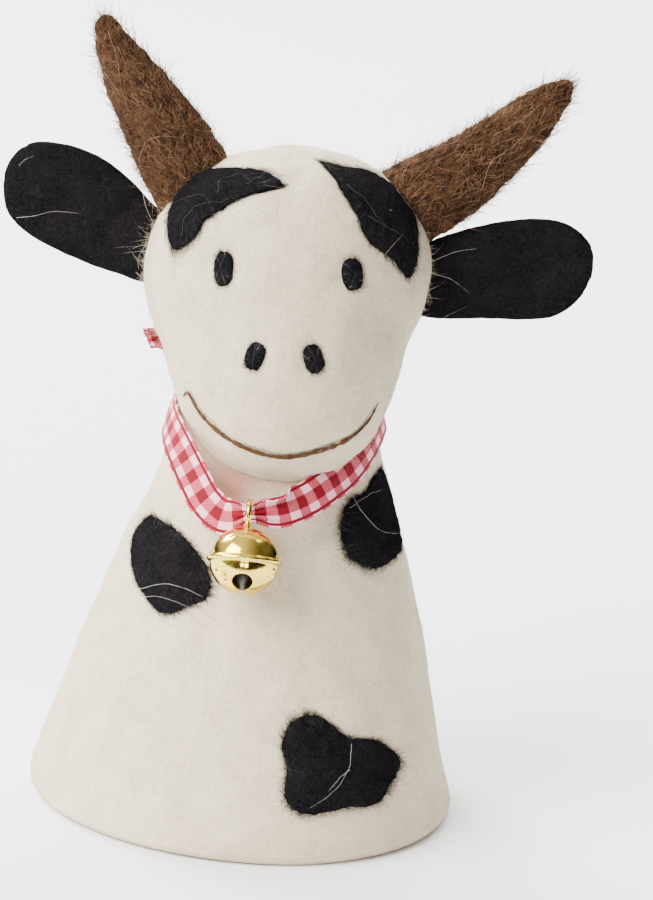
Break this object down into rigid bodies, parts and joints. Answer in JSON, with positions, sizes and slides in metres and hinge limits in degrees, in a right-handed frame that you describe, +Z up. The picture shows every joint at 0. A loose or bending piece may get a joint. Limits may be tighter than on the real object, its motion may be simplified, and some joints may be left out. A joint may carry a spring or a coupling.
{
  "type": "egg cosy",
  "caption": "Hollow felt cone that covers an egg in its cup, with a felt cow's head, horns, ears and patches, a gingham ribbon tied at the neck and a round bell.",
  "frame": {"origin": "on the floor the hem rests on, under the middle of the whole outline", "axes": "+Z up the cone, -Y the way the cow looks, +X towards the ear on the viewer's right when the viewer faces the cow"},
  "size_m": [0.103, 0.0752, 0.1366],
  "materials": {
    "wool": "cream felted wool, fibres standing off the surface",
    "horn_felt": "brown felted wool with golden and tan fibres",
    "black_felt": "black felted wool with a few pale fibres",
    "thread": "twisted brown embroidery thread",
    "gingham": "woven ribbon in red, pink and white checks",
    "brass": "polished pressed brass",
    "steel": "dull steel ball"
  },
  "bodies": {
    "cosy": {"body": "wool", "head": "wool", "horn_left": "horn_felt", "horn_right": "horn_felt", "ear_left": "black_felt", "ear_right": "black_felt", "patch_brow_left": "black_felt", "patch_brow_right": "black_felt", "patch_chest_left": "black_felt", "patch_neck_right": "black_felt", "patch_hem_right": "black_felt", "eye_left": "black_felt", "eye_right": "black_felt", "nostril_left": "black_felt", "nostril_right": "black_felt", "mouth": "thread", "ribbon": "gingham", "ribbon_knot": "gingham", "ribbon_tail_left": "gingham", "ribbon_tail_right": "gingham"},
    "bell": {"bell_ring": "brass", "bell_shell": "brass", "bell_pellet": "steel"}
  },
  "joints": [
    {"name": "bell_swing", "type": "hinge", "parent": "cosy", "child": "bell", "pos_m": [-0.00379, -0.02798, 0.0594], "axis": [-1, 0, 0], "range_deg": [-9, 61]}
  ]
}
